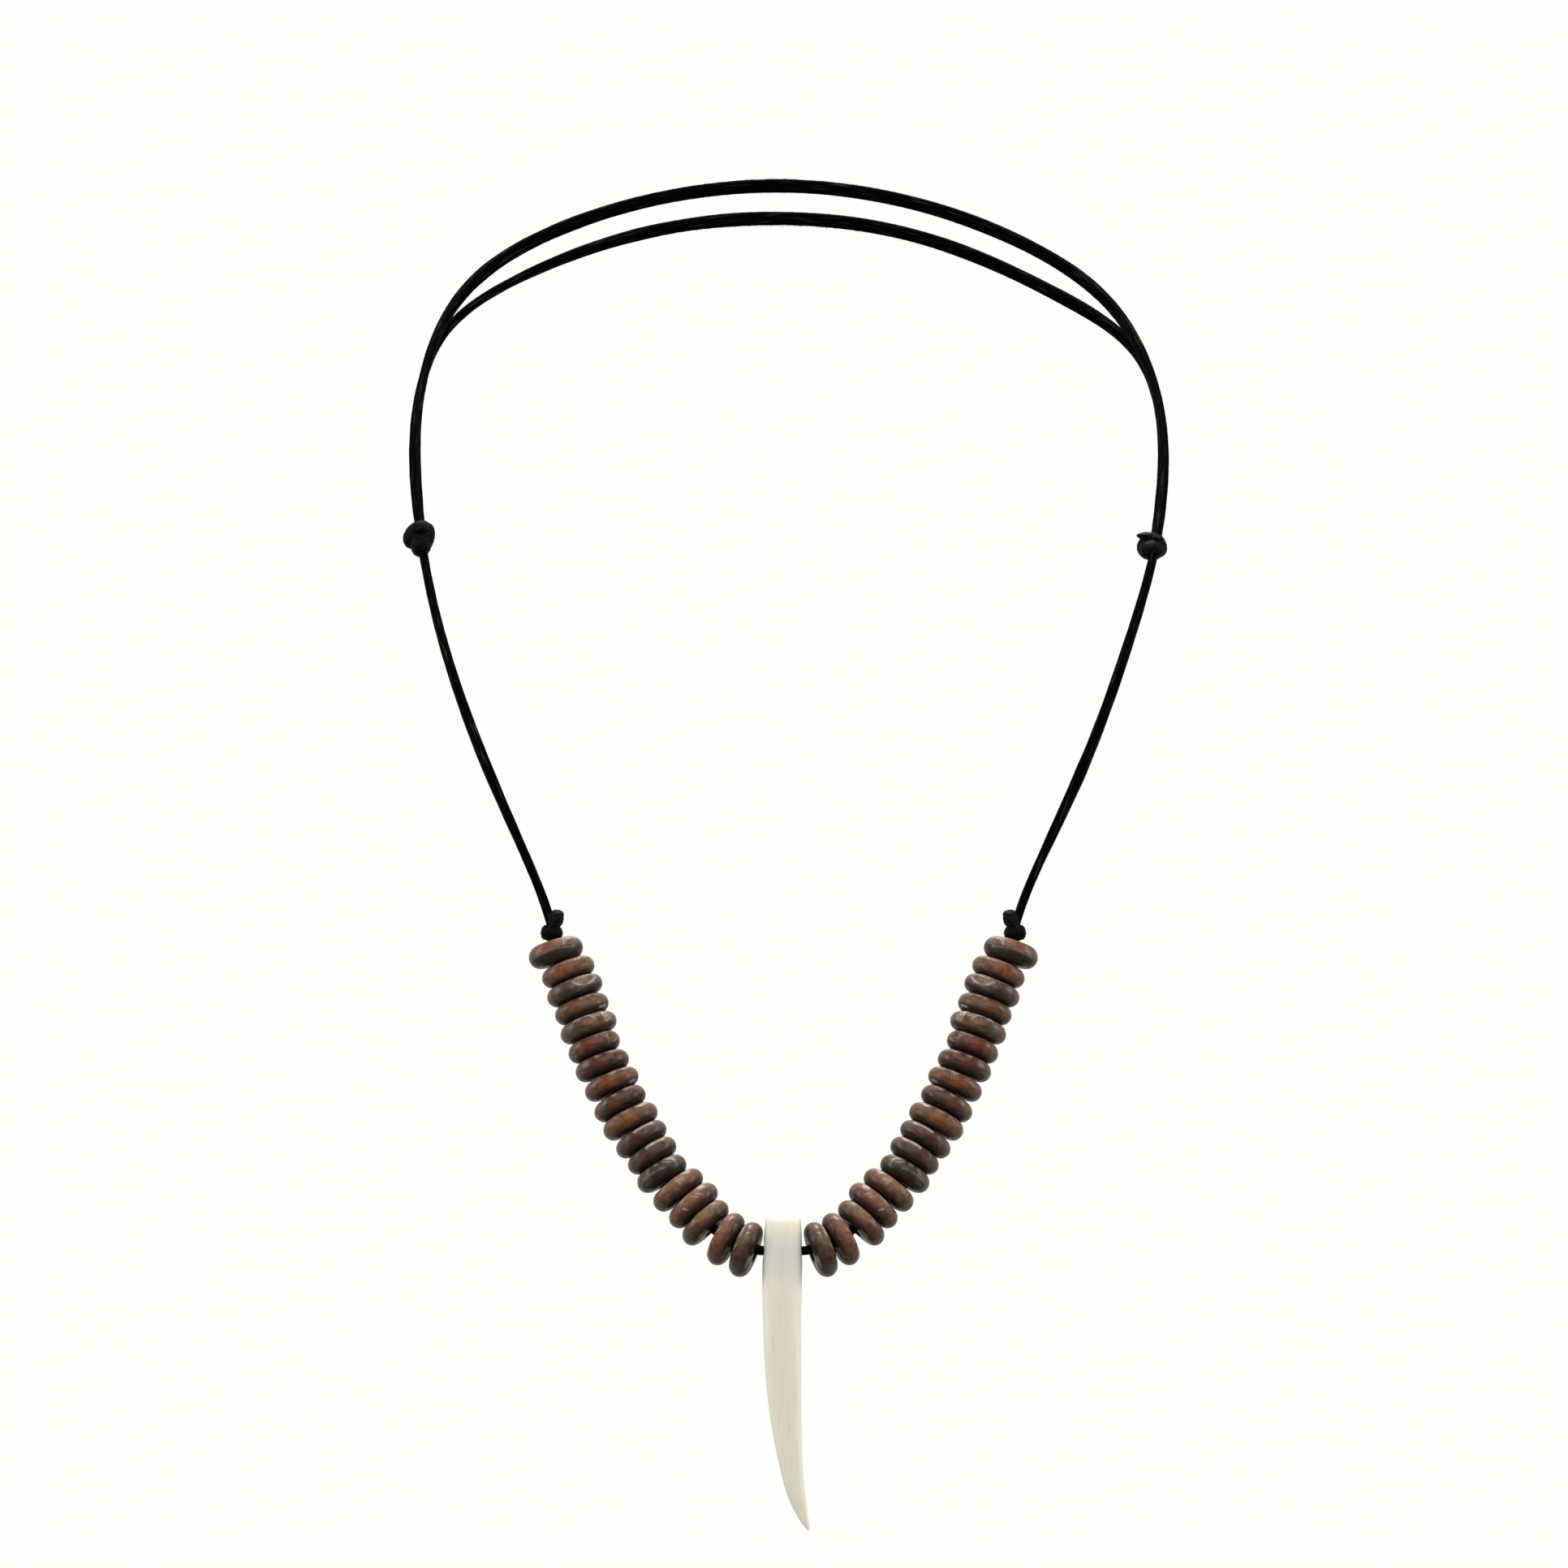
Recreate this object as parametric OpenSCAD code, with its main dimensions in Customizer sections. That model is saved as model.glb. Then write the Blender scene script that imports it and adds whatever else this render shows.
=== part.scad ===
// Coconut bead necklace with a bone tusk, in the form that it takes round a neck.
// Millimetres, +Z up. The front faces -Y and +X is to the right as one looks at the front.
// The origin is at the middle of the nape, on the inner face of the upper strand of the lace.

/* [Loop] */
// Width of the worn loop from side to side
loop_w = 120; // [112:1:130]

/* [Lace] */
// Width of the flat lace
lace_w = 2.2; // [1.8:0.1:2.3]
// Thickness of the flat lace
lace_t = 1.4; // [1.1:0.1:1.6]

/* [Coconut beads] */
// Diameter of a middling bead
bead_d = 8.75; // [7.5:0.25:9.5]
// Thickness of a middling bead
bead_t = 3.0; // [2.4:0.1:3.1]
// Diameter of the hole through a bead
bead_bore_d = 3.0; // [2.8:0.1:3.3]
// Share of the half thickness that the rounding of the rim takes
rim_round = 0.86; // [0.4:0.02:0.94]
// Gap between the faces of neighbouring beads
bead_gap = 0.06; // [0.04:0.02:0.2]

/* [Tusk pendant] */
// Length from the flat top to the tip
tusk_len = 48.4; // [40:0.2:56]
// Width at the widest place
tusk_w = 6.25; // [5.5:0.25:7]
// Depth from front to back at the deepest place
tusk_d = 5.0; // [4.6:0.2:6.4]
// Diameter of the hole for the lace
tusk_bore_d = 2.9; // [2.8:0.1:3.2]
// Gap between the flank of the tusk and the bead beside it
swing_gap = 0.2; // [0.15:0.05:0.6]

/* [Knots] */
// Width of a sliding knot
slide_knot_w = 5.3; // [4.8:0.1:6]
// Height of a sliding knot along the lace
slide_knot_h = 3.0; // [2.6:0.1:4.2]
// Width of a stop knot at its lower fold
stop_knot_w = 3.6; // [3.3:0.1:4.6]
// Height of a stop knot along the lace
stop_knot_h = 5.1; // [4.5:0.1:6]

/* [Hidden] */
$fn = 48;
BEADS = 18;
SIDES = ["left", "right"];
function bead_name(side, k) = str("bead_", side, "_", k < 10 ? "0" : "", k);

// Route of the lace as control points of a smooth curve, for a loop 120 wide.
// From its end in the right sliding knot, across the back as the lower strand, to the left beads
ROUTE_W = 120;
ROUTE_START = [
    [59, -63.2, -62.4], [62.1, -46.7, -44], [59.3, -32, -28.5], [47.1, -16, -19.7], [25, -2.5, -7.9],
    [0, 2.6, -4], [-25, -2.5, -7.2], [-46.5, -16.5, -17], [-57.8, -32, -26.5], [-60.5, -46.5, -44],
    [-58.2, -61.5, -60], [-54.3, -77, -77], [-46.6, -89.5, -97.5]
];
// The left half of the bead string, down to the tusk. The right half mirrors it.
ROUTE_BEADS = [
    [-36.65, -95.7, -118], [-35.3, -96.6, -125.5], [-31.1, -98, -135.55], [-25.57, -100, -148.6],
    [-16.88, -102.4, -163.1], [-7.2, -104.3, -172.45], [0, -105.35, -171.575]
];
// From the right beads up, across the back as the upper strand, to its end in the left sliding knot
ROUTE_END = [
    [47.2, -89.5, -97.5], [54.4, -78.5, -78], [60.2, -65.5, -60.5], [62.2, -48.2, -42], [57.8, -33, -26],
    [48.2, -17.5, -14.2], [25.5, -3, -2.8], [0, 2.6, 1.5], [-25.5, -3, -2.15], [-48, -18, -12.5],
    [-57, -33.5, -25], [-59.9, -48, -41.5], [-57.7, -64.6, -59.8]
];
// How far the lace is turned at each of those points, in degrees: 0 shows its edge to the front, and
// 90 its flat side. Between the two stop knots it shows its edge.
TURNS_START = [20, 20, 35, 80, 65, 75, 50, 5, 0, 0, 10, 50, 60];
TURNS_END = [75, 60, 30, 20, 60, 85, 80, 75, 80, 85, 40, 10, 10];
RINGS_PER_POINT = 2;
// Corners of the lace's section, as shares of its half width and half thickness
LACE_OUTLINE = [
    [1, 0.3], [0.55, 1], [-0.55, 1], [-1, 0.3], [-1, -0.3], [-0.55, -1], [0.55, -1], [1, -0.3]
];

// One row for each bead, from the stop knot down to the tusk.
// Columns: diameter and thickness as shares of the middling bead's, how far its axis leans from
// the lace in degrees, how far it hangs outwards as a share of its play on the lace, and its tone.
UMBER = "#6e5a4b";
CHESTNUT = "#87593c";
RED_BROWN = "#764c3b";
DARK = "#4f443c";
BEAD_ROWS = [
    [0.99, 1.15, 0, 0.9, UMBER],
    [0.97, 1, -1, -0.6, RED_BROWN],
    [1.03, 0.98, 0, -0.4, UMBER],
    [0.99, 1, 2, -0.3, RED_BROWN],
    [1.04, 1, 2, 0, DARK],
    [0.96, 1, 1, 0.7, RED_BROWN],
    [0.99, 1.02, 3, 0.8, DARK],
    [1.01, 0.98, 1, 0.5, CHESTNUT],
    [0.99, 1, -2, 0.9, DARK],
    [1.04, 1.04, 1, 0.6, CHESTNUT],
    [0.99, 0.96, -1, 0.4, UMBER],
    [0.95, 1, 0, 0.2, DARK],
    [0.96, 1.06, 3, 0.9, DARK],
    [1.02, 1.03, 0, -0.2, CHESTNUT],
    [1.03, 1.04, 0, -0.7, RED_BROWN],
    [1, 1, 3, 0.2, UMBER],
    [1, 1.02, -5, 0.2, RED_BROWN],
    [1.01, 1.03, 5, 0.65, UMBER]
];
LACE_BLACK = "#1f1e1d";
BONE = "#dedaca";

// Sections of the tusk for a length of 48.4, a width of 6.25 and a depth of 5, from the top down.
// Columns: height over the bore, left edge, right edge, depth.
TUSK_TABLE_LEN = 48.4;
TUSK_TABLE_W = 6.25;
TUSK_TABLE_D = 5;
TUSK_ROWS = [
    [5.4, -2.35, 2.3, 3.7],
    [5, -2.65, 2.6, 4.2],
    [4.1, -2.85, 2.75, 4.5],
    [0.8, -3.1, 2.9, 4.8],
    [-4.5, -3.35, 2.9, 5],
    [-10.5, -3.15, 2.7, 4.9],
    [-16.5, -3, 2.75, 4.6],
    [-22.5, -2.5, 2.8, 4.2],
    [-27.5, -1.8, 2.8, 3.7],
    [-32, -0.9, 2.9, 3.1],
    [-36, 0, 3.2, 2.5],
    [-39, 1.1, 3.6, 1.9],
    [-41, 2.2, 3.8, 1.3],
    [-42.3, 3, 4, 0.8],
    [-43, 3.7, 4.05, 0.3]
];
TUSK_SIDES = 24;
// Half the tusk's width beside the rims of the nearest beads, as a share of its full width
TUSK_NECK_SHARE = 0.45;
// Power of the tusk's section: 2 is an ellipse, and more is squarer
TUSK_SQUARENESS = 3.4;

// Gap between parts that touch in use
SMALL_GAP = 0.1;
// Room on each side of the lace in a knot
KNOT_PLAY = 0.15;
// The left and right sliding knots. Columns: distance along the route in control points, how far
// the knot sits sideways of its strand, and the tilt of its turns
SLIDE_LEFT = [10.05, -0.35, -11];
SLIDE_RIGHT = [27.9, 0.6, 9];
KNOT_WRAPS = 3;
// How far the turns swell into one another: 1 only touches
WRAP_FULLNESS = 1.15;
// How far the end turns draw in
WRAP_INSET = 0.4;
// Radius of the lump round the end of the other strand
END_LOBE_R = 1.9;
// The cut tail beside the left sliding knot: its radius and length, and its place and start in the
// knot's frame
TAIL_R = 0.6;
TAIL_LEN = 3.8;
TAIL_START = [-1.2, -1.15, 0.5];
// The two folds of a stop knot, upper and lower.
// Columns: place along the lace as a share of the knot's height, place sideways, width and depth
// as shares of the knot's width, height as a share of the knot's height
STOP_FOLDS = [
    [-0.2, 0.24, 0.83, 1.25, 0.6],
    [0.16, -0.03, 1, 1.22, 0.68]
];
FOLD_SIDES = 28;
// Steps in which a bead is moved up to its neighbour
SEATING_STEPS = 4;
// Length of the steps and their number along half the bead string, in control points
STRING_STEP = 0.05;
STRING_STEPS = 150;

// The curve

function unit(v) = v / norm(v);
function mirrored(p) = [-p[0], p[1], p[2]];
half_points = len(ROUTE_BEADS);
route = loop_w / ROUTE_W * concat(
    ROUTE_START,
    ROUTE_BEADS,
    [for (i = [half_points - 2:-1:0]) mirrored(ROUTE_BEADS[i])],
    ROUTE_END
);
last = len(route) - 1;
bore_at = len(ROUTE_START) + half_points - 1;

// Control point i. One extra point past each end makes the curve start and stop on the route.
function control(i) =
    i < 0 ? 2 * route[0] - route[1] :
    i > last ? 2 * route[last] - route[last - 1] :
    route[i];

// Point of the uniform cubic B-spline at t, which counts control points from 0
function on_curve(t) =
    let (i = min(floor(t), last - 1), u = t - i)
    (pow(1 - u, 3) * control(i - 1)
        + (3 * pow(u, 3) - 6 * u * u + 4) * control(i)
        + (3 * u + 3 * u * u - 3 * pow(u, 3) + 1) * control(i + 1)
        + pow(u, 3) * control(i + 2)) / 6;

// Direction of the curve at t
function heading(t) =
    let (i = min(floor(t), last - 1), u = t - i)
    unit(-pow(1 - u, 2) * control(i - 1)
        + (3 * u * u - 4 * u) * control(i)
        + (1 + 2 * u - 3 * u * u) * control(i + 1)
        + u * u * control(i + 2));

// How far the lace is turned at t
turns = concat(TURNS_START, [for (i = [2:2 * half_points]) 0], TURNS_END);
turn_table = [for (i = [0:last]) [i, turns[i]]];
function turn_at(t) = lookup(t, turn_table);

// Direction of the lace's width at t
function broadside(t) =
    let (
        way = heading(t),
        wanted = [0, cos(turn_at(t)), -sin(turn_at(t))]
    )
    unit(wanted - (wanted * way) * way);

// Lengths along the left bead string, measured from the bore: rows of [length, t]
function string_point(i) = on_curve(bore_at - i * STRING_STEP);
string_lengths = [
    for (
        i = 0, run = 0;
        i <= STRING_STEPS;
        run = run + norm(string_point(i + 1) - string_point(i)), i = i + 1
    )
    [run, bore_at - i * STRING_STEP]
];
function t_at(run) = lookup(run, string_lengths);

// Sizes and places of the beads on the left string

function bead_dia(k) = bead_d * BEAD_ROWS[k - 1][0];
function bead_thick(k) = bead_t * BEAD_ROWS[k - 1][1];
function rim_r(k) = bead_thick(k) / 2 * rim_round;
function flat_r(k) = bead_dia(k) / 2 - rim_r(k);

// Direction of the string up to its stop knot, and the direction outwards from the loop
function upward(run) = -heading(t_at(run));
function outward(run) = cross(upward(run), broadside(t_at(run)));

// Axis of bead k at a length along the string: the string's direction, leaned in its plane
function bead_axis(k, run) =
    let (lean = BEAD_ROWS[k - 1][2])
    cos(lean) * upward(run) - sin(lean) * outward(run);

// How far bead k can hang off the middle of the lace: the corners of the lace stop it in its hole
function play(k) =
    sqrt(pow(bead_bore_d / 2 - SMALL_GAP, 2) - pow(LACE_OUTLINE[1][0] * lace_w / 2, 2))
        - lace_t / 2 - bead_thick(k) / 2 * abs(sin(BEAD_ROWS[k - 1][2]));

// Middle of bead k at a length along the string
function bead_centre(k, run) =
    on_curve(t_at(run)) + BEAD_ROWS[k - 1][3] * play(k) * outward(run);

// How far bead k reaches from its middle along a line that stands at an angle to its axis
function reach(k, angle) =
    (bead_thick(k) / 2 - rim_r(k)) * cos(angle) + flat_r(k) * sin(angle) + rim_r(k);

// Length along the string at which the bead beside the tusk clears its flank
function first_run(guess) =
    TUSK_NECK_SHARE * tusk_w + swing_gap + reach(BEADS, acos(abs(bead_axis(BEADS, guess)[0])));

// Gap between bead k at a length along the string and the next bead down
function gap_below(k, run, below) =
    let (
        upper = bead_axis(k, run),
        lower = bead_axis(k + 1, below),
        half_turn = acos(min(1, upper * lower)) / 2
    )
    (bead_centre(k, run) - bead_centre(k + 1, below)) * unit(upper + lower)
        - reach(k, half_turn) - reach(k + 1, half_turn);

// Length along the string at which bead k lies its gap away from the next bead down
function next_run(k, below, run, steps = SEATING_STEPS) =
    steps == 0 ? run : next_run(k, below, run + bead_gap - gap_below(k, run, below), steps - 1);

// Lengths along the string of beads BEADS to 1
string_runs = [
    for (
        k = BEADS, run = first_run(first_run(loop_w / 20));
        k >= 1;
        run = k > 1 ? next_run(k - 1, run, run + bead_t) : run, k = k - 1
    )
    run
];
function bead_run(k) = string_runs[BEADS - k];
knot_run = bead_run(1) + bead_thick(1) / 2 + SMALL_GAP + stop_knot_h / 2;

// Shapes

// Moves to a point, with +Z along way and +X along across
module aim(point, way, across) {
    side = cross(way, across);
    multmatrix([for (i = [0:2]) [across[i], side[i], way[i], point[i]]]) children();
}

module on_lace(t) {
    aim(on_curve(t), heading(t), broadside(t)) children();
}

// The room that the lace takes in a knot, from z = 0 up
module lace_room(length) {
    room_w = lace_w + 2 * KNOT_PLAY;
    room_t = lace_t + 2 * KNOT_PLAY;
    translate([-room_w / 2, -room_t / 2, 0]) cube([room_w, room_t, length]);
}

// A tube of the lace's section along the whole route
module lace_strand() {
    corners = len(LACE_OUTLINE);
    rings = last * RINGS_PER_POINT + 1;
    points = [
        for (r = [0:rings - 1])
        let (
            t = r / RINGS_PER_POINT,
            across = broadside(t),
            through = cross(heading(t), across)
        )
        for (c = LACE_OUTLINE) on_curve(t) + c[0] * lace_w / 2 * across + c[1] * lace_t / 2 * through
    ];
    walls = [
        for (r = [0:rings - 2])
        for (c = [0:corners - 1])
        let (
            a = r * corners + c,
            b = r * corners + (c + 1) % corners
        )
        each [[a, a + corners, b + corners], [a, b + corners, b]]
    ];
    start = [for (c = [0:corners - 1]) c];
    end = [for (c = [corners - 1:-1:0]) (rings - 1) * corners + c];
    polyhedron(points, concat([start], walls, [end]));
}

// A drilled disc with a rounded rim, centred, its axis along Z
module rondelle(dia, thick, rim) {
    rotate_extrude() difference() {
        union() {
            translate([0, -thick / 2]) square([dia / 2 - rim, thick]);
            translate([0, rim - thick / 2]) square([dia / 2, thick - 2 * rim]);
            for (up = [-1, 1]) translate([dia / 2 - rim, up * (thick / 2 - rim)]) circle(rim);
        }
        translate([-dia, -dia]) square([dia + bead_bore_d / 2, 2 * dia]);
    }
}

// Bead k of the left string
module left_bead(k) {
    run = bead_run(k);
    color(BEAD_ROWS[k - 1][4])
        aim(bead_centre(k, run), bead_axis(k, run), broadside(t_at(run)))
        rondelle(bead_dia(k), bead_thick(k), rim_r(k));
}

// Turns of lace stacked along Z round an axis, with the end turns drawn in
module wraps(width, height) {
    turn_r = height / KNOT_WRAPS / 2 * WRAP_FULLNESS;
    top = height / 2 - turn_r;
    middle = (KNOT_WRAPS - 1) / 2;
    rotate_extrude() {
        for (i = [0:KNOT_WRAPS - 1]) {
            away = (i - middle) / middle;
            translate([width / 2 - turn_r - WRAP_INSET * abs(away), away * top]) circle(turn_r);
        }
        translate([0, -top]) square([width / 2 - turn_r - WRAP_INSET, 2 * top]);
    }
}

// A sliding knot, which grips the other strand's end. That strand leaves it along way_out.
module slide_knot(row, end_t, way_out) {
    room = 2 * slide_knot_h;
    difference() {
        union() {
            on_lace(row[0]) translate([0, row[1], 0]) rotate([row[2], 0, 0])
                wraps(slide_knot_w, slide_knot_h);
            aim(on_curve(end_t), way_out, broadside(end_t)) sphere(END_LOBE_R);
        }
        on_lace(row[0]) translate([0, 0, -room]) lace_room(2 * room);
        aim(on_curve(end_t) - KNOT_PLAY * way_out, way_out, broadside(end_t)) lace_room(room);
    }
}

module slide_knot_left() {
    color(LACE_BLACK) {
        slide_knot(SLIDE_LEFT, last, -heading(last));
        on_lace(SLIDE_LEFT[0])
            translate(TAIL_START) cylinder(h = TAIL_LEN, r = TAIL_R);
    }
}

module slide_knot_right() {
    color(LACE_BLACK) slide_knot(SLIDE_RIGHT, 0, heading(0));
}

module stop_knot_left() {
    color(LACE_BLACK) on_lace(t_at(knot_run)) difference() {
        for (fold = STOP_FOLDS) {
            translate([0, fold[1] * stop_knot_w, fold[0] * stop_knot_h])
                scale([fold[3] * stop_knot_w / 2, fold[2] * stop_knot_w / 2, fold[4] * stop_knot_h / 2])
                sphere(1, $fn = FOLD_SIDES);
        }
        translate([0, 0, -stop_knot_h]) lace_room(2 * stop_knot_h);
    }
}

module stop_knot_right() {
    mirror([1, 0, 0]) stop_knot_left();
}

module lace() {
    color(LACE_BLACK) lace_strand();
}

// One section of the tusk, as a squarish oval between its two edges
function tusk_ring(row) =
    let (
        low = row[1] * tusk_w / TUSK_TABLE_W,
        high = row[2] * tusk_w / TUSK_TABLE_W,
        deep = row[3] * tusk_d / TUSK_TABLE_D / 2,
        power = 2 / TUSK_SQUARENESS
    )
    [
        for (i = [0:TUSK_SIDES - 1])
        let (a = i * 360 / TUSK_SIDES)
        [
            (low + high) / 2 + (high - low) / 2 * sign(cos(a)) * pow(abs(cos(a)), power),
            deep * sign(sin(a)) * pow(abs(sin(a)), power),
            row[0] * tusk_len / TUSK_TABLE_LEN
        ]
    ];

module tusk_body() {
    rows = len(TUSK_ROWS);
    points = [for (row = TUSK_ROWS) each tusk_ring(row)];
    walls = [
        for (r = [0:rows - 2])
        for (c = [0:TUSK_SIDES - 1])
        let (
            a = r * TUSK_SIDES + c,
            b = r * TUSK_SIDES + (c + 1) % TUSK_SIDES
        )
        each [[a, b, b + TUSK_SIDES], [a, b + TUSK_SIDES, a + TUSK_SIDES]]
    ];
    top = [for (c = [TUSK_SIDES - 1:-1:0]) c];
    tip = [for (c = [0:TUSK_SIDES - 1]) (rows - 1) * TUSK_SIDES + c];
    polyhedron(points, concat([top], walls, [tip]));
}

module tusk_pendant() {
    color(BONE) translate(on_curve(bore_at)) difference() {
        tusk_body();
        rotate([0, 90, 0]) cylinder(h = 4 * tusk_w, d = tusk_bore_d, center = true);
    }
}

lace();
slide_knot_left();
slide_knot_right();
stop_knot_left();
stop_knot_right();
tusk_pendant();
for (k = [1:BEADS]) {
    left_bead(k);
    mirror([1, 0, 0]) left_bead(k);
}
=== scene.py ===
"""Coconut bead necklace with a bone tusk, in the form that it takes round a neck.

Metres, +Z up, the front faces -Y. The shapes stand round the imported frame: the lace follows the
route of the part's source, and beads, knots and tusk take their places and sizes from its nodes.
"""
import bpy
import numpy as np
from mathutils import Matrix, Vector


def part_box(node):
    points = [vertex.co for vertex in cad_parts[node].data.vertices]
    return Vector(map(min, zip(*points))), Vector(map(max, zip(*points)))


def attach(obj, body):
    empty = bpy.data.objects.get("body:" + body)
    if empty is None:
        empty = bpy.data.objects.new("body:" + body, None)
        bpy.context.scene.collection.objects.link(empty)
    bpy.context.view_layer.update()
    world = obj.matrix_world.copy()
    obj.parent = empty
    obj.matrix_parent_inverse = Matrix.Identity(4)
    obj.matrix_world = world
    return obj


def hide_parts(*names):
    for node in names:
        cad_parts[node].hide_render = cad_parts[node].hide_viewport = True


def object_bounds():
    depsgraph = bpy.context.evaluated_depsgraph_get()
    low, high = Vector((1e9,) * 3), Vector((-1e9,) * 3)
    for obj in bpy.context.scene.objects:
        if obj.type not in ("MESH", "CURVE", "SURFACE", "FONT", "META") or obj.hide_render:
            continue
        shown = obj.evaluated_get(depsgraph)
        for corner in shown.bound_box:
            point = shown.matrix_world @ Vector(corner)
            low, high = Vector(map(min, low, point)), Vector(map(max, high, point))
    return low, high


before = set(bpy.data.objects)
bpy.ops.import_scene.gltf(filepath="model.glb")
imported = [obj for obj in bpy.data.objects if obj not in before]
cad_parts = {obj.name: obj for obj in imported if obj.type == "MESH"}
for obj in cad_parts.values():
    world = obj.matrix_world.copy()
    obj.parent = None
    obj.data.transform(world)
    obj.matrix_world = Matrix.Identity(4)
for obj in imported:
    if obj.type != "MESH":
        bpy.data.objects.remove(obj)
cad_low, cad_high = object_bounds()

MM = 0.001
NECKLACE, PENDANT = "necklace", "pendant"

# Camera: level with the middle of the loop, in front of it
EYE = (0.1 * MM, -1305 * MM, -100 * MM)
SENSOR_WIDTH = 36.0
LENS = 178.9

# Route of the lace as control points of a smooth curve, in millimetres, as in the part's source.
# From its end in the right sliding knot, across the back as the lower strand, to the left beads
ROUTE_START = [
    [59, -63.2, -62.4], [62.1, -46.7, -44], [59.3, -32, -28.5], [47.1, -16, -19.7], [25, -2.5, -7.9],
    [0, 2.6, -4], [-25, -2.5, -7.2], [-46.5, -16.5, -17], [-57.8, -32, -26.5], [-60.5, -46.5, -44],
    [-58.2, -61.5, -60], [-54.3, -77, -77], [-46.6, -89.5, -97.5],
]
# The left half of the bead string, down to the tusk. The right half mirrors it.
ROUTE_BEADS = [
    [-36.65, -95.7, -118], [-35.3, -96.6, -125.5], [-31.1, -98, -135.55], [-25.57, -100, -148.6],
    [-16.88, -102.4, -163.1], [-7.2, -104.3, -172.45], [0, -105.35, -171.575],
]
# From the right beads up, across the back as the upper strand, to its end in the left sliding knot
ROUTE_END = [
    [47.2, -89.5, -97.5], [54.4, -78.5, -78], [60.2, -65.5, -60.5], [62.2, -48.2, -42], [57.8, -33, -26],
    [48.2, -17.5, -14.2], [25.5, -3, -2.8], [0, 2.6, 1.5], [-25.5, -3, -2.15], [-48, -18, -12.5],
    [-57, -33.5, -25], [-59.9, -48, -41.5], [-57.7, -64.6, -59.8],
]
# How far the lace is turned at each of those points, in degrees: 0 shows its edge to the front, and
# 90 its flat side. Between the two stop knots it shows its edge.
TURNS_START = [20, 20, 35, 80, 65, 75, 50, 5, 0, 0, 10, 50, 60]
TURNS_END = [75, 60, 30, 20, 60, 85, 80, 75, 80, 85, 40, 10, 10]
TURNS = TURNS_START + [0] * (2 * len(ROUTE_BEADS) - 1) + TURNS_END
MIRROR = np.array([-1.0, 1.0, 1.0])
ROUTE = MM * np.array(
    ROUTE_START + ROUTE_BEADS + [list(p * MIRROR) for p in np.array(ROUTE_BEADS)[-2::-1]] + ROUTE_END
)
ROUTE_LAST = len(ROUTE) - 1
BORE_AT = len(ROUTE_START) + len(ROUTE_BEADS) - 1
LACE_WIDTH = 2.2 * MM
LACE_THICKNESS = 1.4 * MM
LACE_RINGS = 1700
LACE_SIDES = 26
LACE_SQUARENESS = 3.0
# Unevenness of its width, thickness and surface, and the lengths of the waves that make each
WIDTH_SWELL, WIDTH_WAVES = 0.035, np.array([9, 14, 23]) * MM
THICKNESS_SWELL, THICKNESS_WAVES = 0.05, np.array([6, 11, 17]) * MM
GRAIN_HEIGHT, GRAIN_WAVES = 0.02 * MM, np.array([0.5, 0.7, 1.3]) * MM


def linear(colour):
    """Linear RGBA of an sRGB hex value."""
    srgb = np.array([int(colour[i:i + 2], 16) for i in (1, 3, 5)]) / 255
    return (*np.where(srgb <= 0.04045, srgb / 12.92, ((srgb + 0.055) / 1.055) ** 2.4), 1.0)


def tone_of(colour):
    """Linear RGB of an sRGB hex value, for sums with arrays."""
    return np.array(linear(colour)[:3])


def unit(v):
    return v / np.linalg.norm(v, axis=-1, keepdims=True)


def spline(rows, t):
    """Uniform cubic B-spline through the table's rows at t, which counts rows from 0, and its slope.

    Point: ((1-u)^3 a + (3u^3 - 6u^2 + 4) b + (3u^2 + 3u - 3u^3 + 1) c + u^3 d) / 6, where u is the
    share of the way from row b to row c. One row past each end makes it start and stop on the table.
    """
    rows = np.asarray(rows, float)
    ends = np.vstack([2 * rows[0] - rows[1], rows, 2 * rows[-1] - rows[-2]])
    t = np.atleast_1d(t).astype(float)
    i = np.minimum(t.astype(int), len(rows) - 2)
    u = (t - i)[:, None]
    a, b, c, d = (ends[i + k] for k in range(4))
    point = ((1 - u) ** 3 * a + (3 * u**3 - 6 * u**2 + 4) * b
             + (3 * u**2 + 3 * u - 3 * u**3 + 1) * c + u**3 * d) / 6
    slope = (-(1 - u) ** 2 * a + (3 * u**2 - 4 * u) * b + (1 + 2 * u - 3 * u**2) * c + u**2 * d) / 2
    return point, slope


def lace_frame(t):
    """Middle, heading, broadside and flat side of the lace at t.

    The broadside is the direction of its width. It starts as the cosine of the lace's turn backwards
    and the sine downwards, and is then laid square to the heading.
    """
    middle, slope = spline(ROUTE, t)
    heading = unit(slope)
    turn = np.radians(np.interp(t, np.arange(len(TURNS)), TURNS))
    wanted = np.stack([0 * turn, np.cos(turn), -np.sin(turn)], -1)
    broadside = unit(wanted - (wanted * heading).sum(-1, keepdims=True) * heading)
    return middle, heading, broadside, np.cross(heading, broadside)


def waves(places, sizes, seed):
    """Smooth unevenness from -1 to 1: the mean of sine waves of these lengths, each with a random
    direction and phase, at places of three numbers."""
    rng = np.random.default_rng(seed)
    total = np.zeros(places.shape[:-1])
    for size in sizes:
        way = 2 * np.pi / size * unit(rng.normal(size=3))
        total += np.sin(places @ way + rng.uniform(0, 2 * np.pi))
    return total / len(sizes)


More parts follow.
